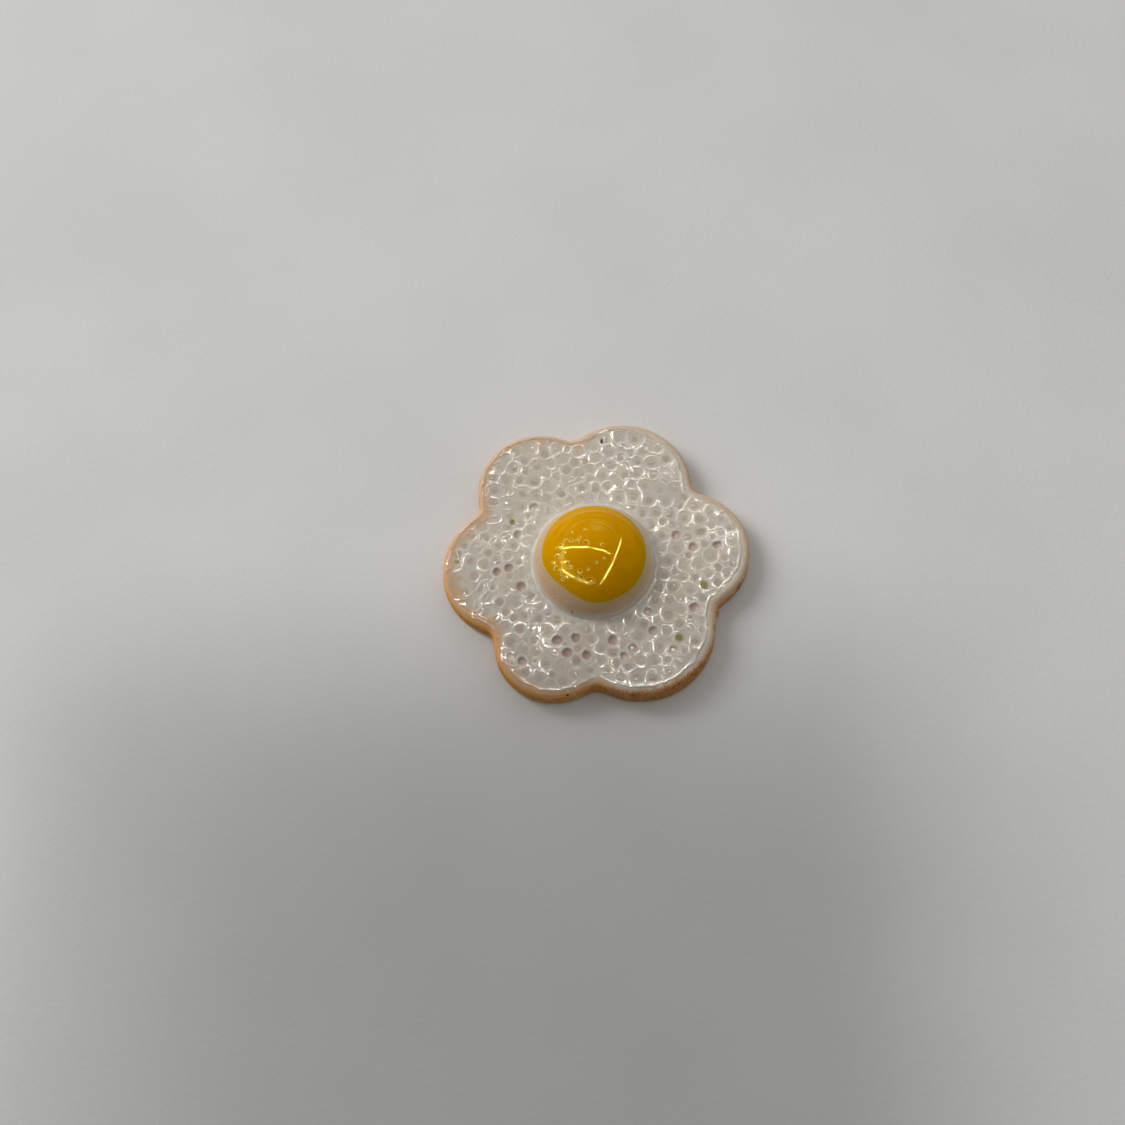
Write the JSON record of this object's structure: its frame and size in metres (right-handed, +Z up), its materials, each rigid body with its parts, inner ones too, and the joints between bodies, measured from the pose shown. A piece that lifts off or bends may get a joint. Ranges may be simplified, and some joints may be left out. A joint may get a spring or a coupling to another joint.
{
  "type": "fried egg charm",
  "caption": "Flat-backed cast resin charm shaped like a fried egg: a lobed white with a pitted, bubbly top and a browned rim, and a glossy yolk set into its low dome.",
  "frame": {"origin": "on the flat underside, below the middle of the outline", "axes": "+Z up out of the flat underside, towards the yolk; +X towards the lobe on the right and +Y towards the far side, as the charm is seen from its front"},
  "size_m": [0.0316, 0.0301, 0.0065],
  "materials": {
    "egg_white": "cloudy off-white cast resin under a clear gloss coat, sprayed golden to red-brown round the rim",
    "yolk": "opaque golden yellow resin, high gloss, with small moulded bubble marks"
  },
  "bodies": {
    "root": {"egg_white": "egg_white", "yolk": "yolk"}
  },
  "joints": []
}
